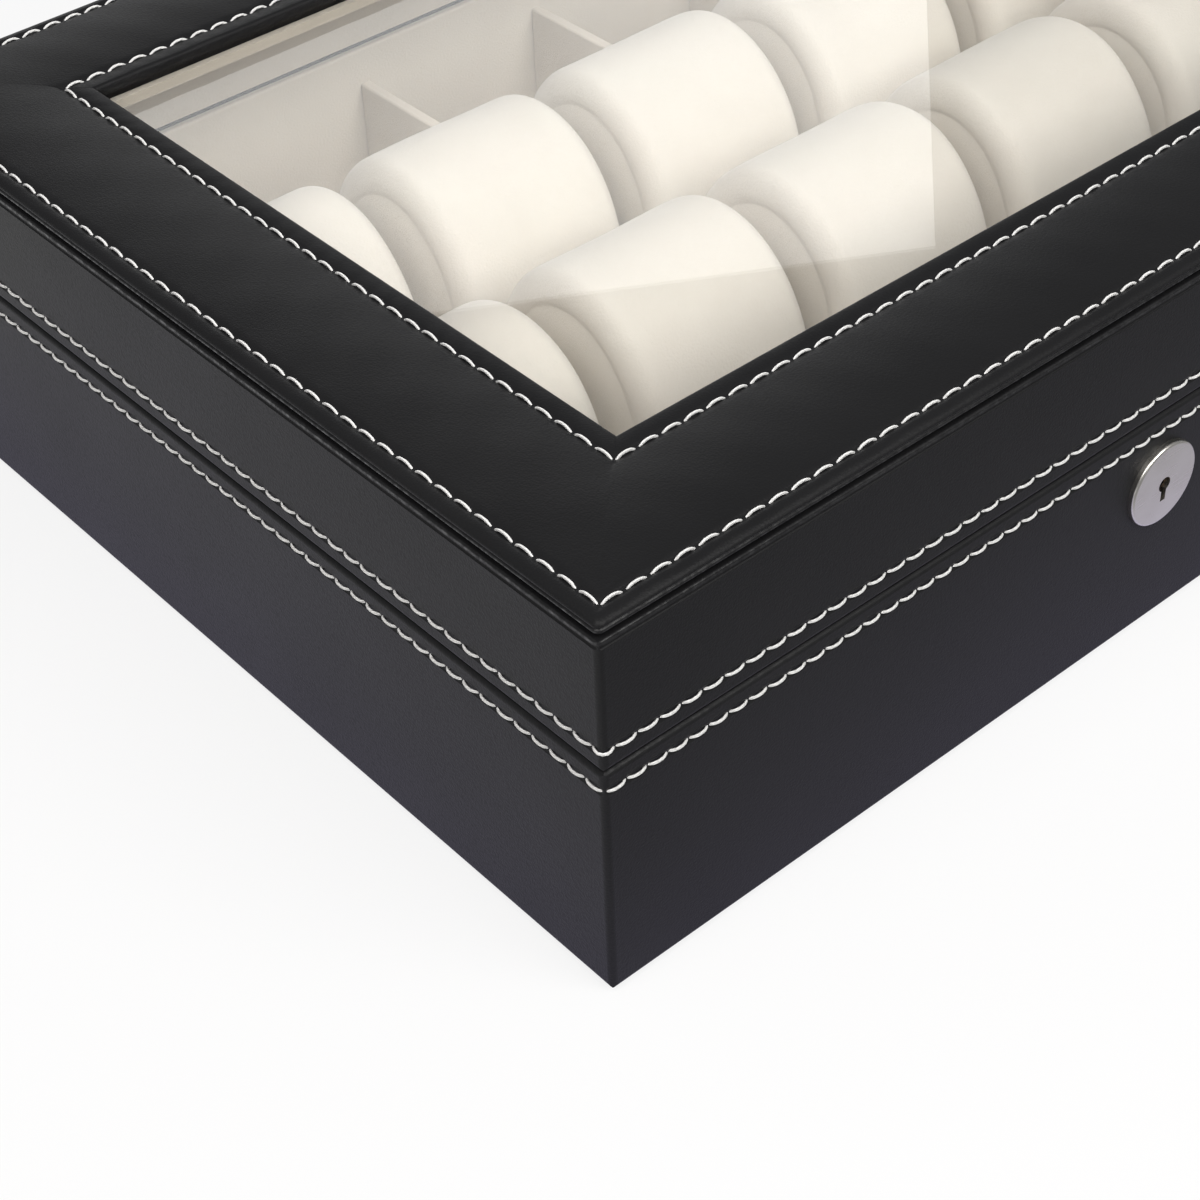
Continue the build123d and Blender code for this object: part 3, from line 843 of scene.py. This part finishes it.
def pillow_stations(half_long):
    """Rings along a pillow as places, draws and shares of size: end disc, crease, rim, barrel and back."""
    disc_edge = PILLOW_END_DRAW + PILLOW_CREASE_WIDTH
    cap = spread(PILLOW_CAP_HUB, 1.0, PILLOW_CAP_RINGS)
    left = [(PILLOW_CREASE / 2 * share ** 2, disc_edge, share) for share in cap]
    left.append((PILLOW_CREASE, PILLOW_END_DRAW + PILLOW_CREASE_WIDTH / 2, 1.0))
    for angle in spread(pi / 2, 0.0, PILLOW_END_RINGS):
        left.append((PILLOW_END * (1 - sin(angle)), PILLOW_END_DRAW * (1 - cos(angle)), 1.0))
    left = [(inset - half_long, draw, share) for inset, draw, share in left]
    reach = half_long - PILLOW_END
    barrel = [(place, 0.0, 1.0) for place in spread(-reach, reach, PILLOW_RINGS)[1:-1]]
    return left + barrel + [(-place, draw, share) for place, draw, share in reversed(left)]


def pillow_shell(size):
    """Points and faces of a closed roll about the middle of its foot, and which points its seams hold."""
    stations = pillow_stations(size.x / 2)
    points = []
    held = []
    for place, draw, share in stations:
        in_crease = share == 1.0 and PILLOW_END_DRAW < draw
        for index, (across, height) in enumerate(pillow_ring(size.y / 2, size.z, draw)):
            if in_crease or (share == 1.0 and index > PILLOW_ROUND - PILLOW_FOOT_STEPS):
                held.append(len(points))
            middle = size.z / 2
            points.append(Vector((place, across * share, middle + (height - middle) * share)))
    last = (len(stations) - 1) * PILLOW_ROUND
    faces = [tuple(range(PILLOW_ROUND)), tuple(range(last, last + PILLOW_ROUND))]
    for here in range(0, last, PILLOW_ROUND):
        there = here + PILLOW_ROUND
        for index in range(PILLOW_ROUND):
            after = (index + 1) % PILLOW_ROUND
            faces.append((here + index, here + after, there + after, there + index))
    return points, faces, held


def swell(points, faces, held):
    """Points of a shell after it is filled with air, held at its seams, none moved further than the limit."""
    mesh = bpy.data.meshes.new("filling")
    mesh.from_pydata([point * SWELL_SCALE for point in points], [], faces)
    recalculate(mesh, 0.0)
    shell = bpy.data.objects.new("filling", mesh)
    bpy.context.scene.collection.objects.link(shell)
    shell.vertex_groups.new(name="seams").add(held, 1.0, "REPLACE")
    cloth = shell.modifiers.new("filling", "CLOTH")
    cloth.settings.use_pressure = True
    cloth.settings.uniform_pressure_force = SWELL_PRESSURE
    cloth.settings.vertex_group_mass = "seams"
    cloth.settings.effector_weights.gravity = 0.0
    for step in range(1, SWELL_STEPS + 1):
        bpy.context.scene.frame_set(step)
    swollen = baked(shell)
    moves = [after.co / SWELL_SCALE - before for before, after in zip(points, swollen.vertices)]
    bpy.data.objects.remove(shell)
    bpy.data.meshes.remove(swollen)
    bpy.context.scene.frame_set(1)
    kept = [SWELL_LIMIT / max(move.length, SWELL_LIMIT) for move in moves]
    return [point + move * share for point, move, share in zip(points, moves, kept)]


def pillow(node, number, points, faces):
    """Suede roll in the space of its solid, a little uneven in its own way."""
    low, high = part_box(node)
    foot = Vector(((low.x + high.x) / 2, (low.y + high.y) / 2, low.z))
    height = high.z - low.z
    shift = Vector((PILLOW_UNEVEN_SHIFT * number, 0, 0))
    placed = []
    for point in points:
        lift = min(1.0, max(0.0, 2 * point.z / height))
        dent = PILLOW_UNEVEN * lift * noise.noise_vector(point / PILLOW_UNEVEN_SIZE + shift)
        placed.append(foot + point + dent)
    made = new_piece("watch_" + node, placed, faces, "pillow_suede")
    recalculate(made.data)
    finer = made.modifiers.new("finer", "SUBSURF")
    finer.levels = 1
    finer.render_levels = 1
    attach(made, node)
    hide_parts(node)


pillow_nodes = [name for name in sorted(frame["nodes"]) if name.startswith("pillow_")]
first_low, first_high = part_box(pillow_nodes[0])
roll, roll_faces, roll_held = pillow_shell(first_high - first_low)
roll = swell(roll, roll_faces, roll_held)
noise.seed_set(PILLOW_UNEVEN_SEED)
for number, name in enumerate(pillow_nodes):
    pillow(name, number, roll, roll_faces)


# Floor pad


def pad_lines():
    """Where the pad is pressed down, as a middle and a half width: lines across and lines along the box."""
    across = []
    for name in frame["nodes"]:
        if name.startswith("divider_cross"):
            low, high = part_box(name)
            across.append(((low.x + high.x) / 2, (high.x - low.x) / 2))
    low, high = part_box("divider_long")
    along = [((low.y + high.y) / 2, (high.y - low.y) / 2)]
    linings = {"left": (across, 0), "right": (across, 0), "front": (along, 1), "back": (along, 1)}
    for side, (lines, axis) in linings.items():
        low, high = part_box("base_lining_" + side)
        lines.append(((low[axis] + high[axis]) / 2, (high[axis] - low[axis]) / 2))
    return across, along


def free_distance(place, lines):
    """Distance from a place to the nearest edge that presses the pad down."""
    return min(abs(place - middle) - half for middle, half in lines)


def floor_pad():
    """Suede pad on the floor board, softly crowned in each slot and tucked down along its edges."""
    low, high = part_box("floor_pad")
    across, along = pad_lines()
    xs = spread(low.x, high.x, round((high.x - low.x) / PAD_STEP))
    ys = spread(low.y, high.y, round((high.y - low.y) / PAD_STEP))
    points = []
    for y in ys:
        for x in xs:
            free = min(free_distance(x, across), free_distance(y, along))
            share = min(1.0, max(0.0, free / PAD_EDGE))
            rise = share * share * (3 - 2 * share)
            points.append((x, y, high.z - PAD_TUCK + (PAD_TUCK + PAD_CROWN) * rise))
    points += [(x, y, low.z) for y in ys for x in xs]
    columns = len(xs)
    layer = columns * len(ys)
    faces = []
    for row in range(len(ys) - 1):
        for column in range(columns - 1):
            here = row * columns + column
            square = (here, here + 1, here + columns + 1, here + columns)
            faces.append(square)
            faces.append(tuple(index + layer for index in reversed(square)))
    border = list(range(columns)) + [row * columns + columns - 1 for row in range(1, len(ys))]
    border += [layer - 1 - column for column in range(1, columns)]
    border += [row * columns for row in range(len(ys) - 2, 0, -1)]
    for here, there in zip(border, border[1:] + border[:1]):
        faces.append((there, here, here + layer, there + layer))
    made = new_piece("slot_floor_pad", points, faces, "cream_lining")
    recalculate(made.data)
    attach(made, "base")
    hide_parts("floor_pad")


floor_pad()


# Screws


def cross_outline(scale, height):
    """Corners of a cross recess at one height."""
    wide = RECESS_REACH * scale
    slim = RECESS_HALF_WIDTH * scale
    arm = [Vector((slim, -slim, height)), Vector((wide, -slim, height)), Vector((wide, slim, height))]
    return [Matrix.Rotation(quarter * pi / 2, 3, "Z") @ corner for quarter in range(4) for corner in arm]


def screw_blank():
    """Countersunk screw pointing down from its head at the origin, with a tapered cross recess."""
    work = bmesh.new()

    def loop(points):
        corners = [work.verts.new(point) for point in points]
        sides = [work.edges.new(pair) for pair in zip(corners, corners[1:] + corners[:1])]
        return corners, sides

    def wall(first, second):
        for index in range(len(first)):
            work.faces.new((first[index - 1], first[index], second[index], second[index - 1]))

    outline = [
        (SCREW_HEAD_RADIUS - SCREW_BEVEL, 0),
        (SCREW_HEAD_RADIUS, -SCREW_BEVEL),
        (SCREW_HEAD_RADIUS, -SCREW_RIM),
        (SCREW_RADIUS, -SCREW_HEAD),
        (SCREW_RADIUS, -SCREW_SHANK),
        (SCREW_TIP_RADIUS, -SCREW_LENGTH),
    ]
    turns = [2 * pi * step / SCREW_SIDES for step in range(SCREW_SIDES)]
    rings = []
    for radius, height in outline:
        rings.append(loop([(radius * cos(turn), radius * sin(turn), height) for turn in turns]))
    for (first, _), (second, _) in zip(rings, rings[1:]):
        wall(first, second)
    work.faces.new(rings[-1][0])
    mouth, mouth_sides = loop(cross_outline(1.0, 0))
    end, end_sides = loop(cross_outline(RECESS_TAPER, -RECESS_DEPTH))
    wall(mouth, end)
    bmesh.ops.triangle_fill(work, edges=rings[0][1] + mouth_sides, use_beauty=True)
    bmesh.ops.triangle_fill(work, edges=end_sides, use_beauty=True)
    bmesh.ops.recalc_face_normals(work, faces=work.faces)
    mesh = bpy.data.meshes.new("screw")
    work.to_mesh(mesh)
    work.free()
    made = bpy.data.objects.new("screw", mesh)
    bpy.context.scene.collection.objects.link(made)
    return made


def screw_group():
    """A screw on each point, turned to rest where its driver left it."""
    group, keys = node_group("screws", {
        "Screw": "NodeSocketObject",
        "Tilt": "NodeSocketFloat",
        "Seed": "NodeSocketInt",
        "Material": "NodeSocketMaterial",
    })
    tree = Tree(group)
    given = tree.node("NodeGroupInput")
    blank = tree.node("GeometryNodeObjectInfo", None, {"Object": given.out("Screw")}, "Geometry")
    turn = tree.node("FunctionNodeRandomValue", {"data_type": "FLOAT"}, {
        2: 0.0,
        3: pi,
        "Seed": given.out("Seed"),
    }, 1)
    rotation = tree.node("ShaderNodeCombineXYZ", None, {"X": given.out("Tilt"), "Z": turn})
    driven = tree.node("GeometryNodeInstanceOnPoints", None, {
        "Points": given.out("Geometry"),
        "Instance": blank,
        "Rotation": rotation,
    })
    solid = tree.node("GeometryNodeRealizeInstances", None, {"Geometry": driven})
    shown = tree.node("GeometryNodeSetMaterial", None, {"Geometry": solid, "Material": given.out("Material")})
    tree.node("NodeGroupOutput", None, {"Geometry": shown})
    return group, keys


def screw_spots(height, with_strike):
    """Points of the screw heads on one rim, from the plates that they hold."""
    spots = []
    low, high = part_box("base_screws")
    back = (low.y + high.y) / 2
    for side in ("left", "right"):
        leaf_low, leaf_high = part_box(f"hinge_{side}_lid_leaf")
        middle = (leaf_low.x + leaf_high.x) / 2
        spots += [(middle + away, back, height) for away in (-HINGE_SCREWS / 2, HINGE_SCREWS / 2)]
    if with_strike:
        low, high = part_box("lock_strike")
        front = (low.y + high.y) / 2
        spots += [(away, front, height) for away in (-STRIKE_SCREWS / 2, STRIKE_SCREWS / 2)]
    return spots


def drive_screws(node, spots, tilt, seed, body):
    """All the screws of one node."""
    mesh = bpy.data.meshes.new(node + "_spots")
    mesh.from_pydata(spots, [], [])
    points = bpy.data.objects.new(node + "_spots", mesh)
    bpy.context.scene.collection.objects.link(points)
    driven = run_group(points, screws, screw_keys, {
        "Screw": blank_screw,
        "Tilt": tilt,
        "Seed": seed,
        "Material": finishes["nickel"],
    })
    made = mesh_piece("recessed_" + node, driven, "nickel")
    made.data.shade_flat()
    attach(made, body)
    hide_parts(node)


screws, screw_keys = screw_group()
blank_screw = screw_blank()
base_spots = screw_spots(base_high.z, with_strike=False)
lid_spots = screw_spots(lid_low.z, with_strike=True)
drive_screws("base_screws", base_spots, tilt=0.0, seed=21, body="base")
drive_screws("lid_screws", lid_spots, tilt=pi, seed=22, body="lid")
bpy.data.objects.remove(blank_screw)


# Camera, floor and lamps


def camera():
    """Camera at the photograph's place and angle."""
    yaw = radians(CAMERA_YAW)
    pitch = radians(CAMERA_PITCH)
    roll = radians(CAMERA_ROLL)
    ahead = Vector((sin(yaw) * cos(pitch), cos(yaw) * cos(pitch), -sin(pitch)))
    level = Vector((cos(yaw), -sin(yaw), 0))
    upright = level.cross(ahead)
    right = cos(roll) * level + sin(roll) * upright
    up = cos(roll) * upright - sin(roll) * level
    lens = bpy.data.cameras.new("camera")
    lens.lens = CAMERA_LENS
    lens.sensor_width = CAMERA_SENSOR
    lens.clip_start = CAMERA_CLIP
    made = bpy.data.objects.new("camera", lens)
    made.matrix_world = Matrix.Translation(CAMERA_PLACE) @ Matrix((right, up, -ahead)).transposed().to_4x4()
    bpy.context.scene.collection.objects.link(made)
    bpy.context.scene.camera = made


def floor():
    """Wide pale floor, white with a soft shadow. Mirrored, it glows with painted reflection: grey, and lilac
    close by.
    """
    corners = [(-1, -1), (1, -1), (1, 1), (-1, 1)]
    points = [(x * FLOOR_REACH, y * FLOOR_REACH, FLOOR_HEIGHT) for x, y in corners]
    mesh = bpy.data.meshes.new("floor")
    mesh.from_pydata(points, [], [(0, 1, 2, 3)])
    made = bpy.data.objects.new("floor", mesh)
    bpy.context.scene.collection.objects.link(made)
    paint, tree, sockets = finish("pale floor", {"Roughness": 0.9, "Specular IOR Level": 0.1})
    clouds = tree.noise(tree.place(), FLOOR_CLOUD, 2.0)
    tree.feed(sockets["Base Color"], tree.mixed(clouds, FLOOR_DARK, FLOOR_LIGHT))
    path = tree.node("ShaderNodeLightPath")
    seen = path.out("Is Camera Ray").at_least(path.out("Is Transmission Ray"))
    x = tree.node("ShaderNodeSeparateXYZ", None, {"Vector": tree.place()}, "X")
    y = x.out("Y")
    # Painted reflection: seen only in reflections, the floor glows white to the back and left, grey to the
    # front and right and darker further off, and lilac close to the box.
    in_front = (0.5 + (x + half_width - y - half_depth) / MIRROR_TURN).at_least(0).at_most(1)
    away = (abs(x) - half_width).at_least(abs(y) - half_depth).at_least(0)
    near = (1 - away / PAINTED_LILAC_REACH).at_least(0)
    far = ((away - WHITE_START) / WHITE_FADE).at_least(0).at_most(1)
    dim = tree.mixed((away / MIRROR_FADE).at_most(1), PAINTED_REFLECTION_NEAR, PAINTED_REFLECTION_FAR)
    plain = Socket(tree, paint.node_tree.nodes["Principled BSDF"].outputs[0])
    white, grey, lilac = [
        tree.node("ShaderNodeEmission", None, {"Color": colour, "Strength": 1.0})
        for colour in (WHITE, dim, PAINTED_LILAC_REFLECTION)
    ]
    painted_reflection = tree.node("ShaderNodeMixShader", None, {0: in_front, 1: white, 2: grey})
    painted_reflection = tree.node("ShaderNodeMixShader", None, {0: PAINTED_LILAC_SHARE * near, 1: painted_reflection, 2: lilac})
    whiteness = seen * (FLOOR_WHITENESS + (1 - FLOOR_WHITENESS) * far)
    mixed = tree.node("ShaderNodeMixShader", None, {0: whiteness, 1: plain, 2: white})
    reflected = path.out("Is Glossy Ray") * (1 - path.out("Is Transmission Ray"))
    mixed = tree.node("ShaderNodeMixShader", None, {0: reflected, 1: mixed, 2: painted_reflection})
    tree.feed(paint.node_tree.nodes["Material Output"].inputs["Surface"], mixed)
    mesh.materials.append(paint)


def lamp(name, place, aim, size, power, colour):
    """Soft square lamp pointed at a spot."""
    light = bpy.data.lights.new(name, "AREA")
    light.size = size
    light.energy = power
    light.color = colour
    made = bpy.data.objects.new(name, light)
    made.location = place
    made.rotation_euler = (Vector(aim) - Vector(place)).to_track_quat("-Z", "Y").to_euler()
    bpy.context.scene.collection.objects.link(made)


def world():
    """Even grey surroundings, which the camera sees as white."""
    made = bpy.data.worlds.new("surroundings")
    made.use_nodes = True
    tree = Tree(made.node_tree)
    grey = tree.node("ShaderNodeBackground", None, {"Color": SURROUNDINGS, "Strength": SURROUNDINGS_LIGHT})
    white = tree.node("ShaderNodeBackground", None, {"Color": WHITE, "Strength": 1.0})
    path = tree.node("ShaderNodeLightPath")
    seen = path.out("Is Camera Ray").at_least(path.out("Is Transmission Ray"))
    mixed = tree.node("ShaderNodeMixShader", None, {0: seen, 1: grey, 2: white})
    tree.feed(made.node_tree.nodes["World Output"].inputs["Surface"], mixed)
    bpy.context.scene.world = made


camera()
floor()
world()
lamp("front", place=(0.15, -0.9, 0.9), aim=(0, 0, 0.04), size=0.8, power=10.5, colour=(1.0, 0.99, 0.97))
lamp("fill", place=(-0.65, -0.25, 0.95), aim=(0, 0, 0.05), size=0.7, power=7.0, colour=(1.0, 0.965, 0.95))
lamp("sheen", place=(0.65, 1.1, 0.5), aim=(0, 0, 0.08), size=0.85, power=2.0, colour=(1.0, 1.0, 1.0))
bpy.context.scene.view_settings.view_transform = "Standard"
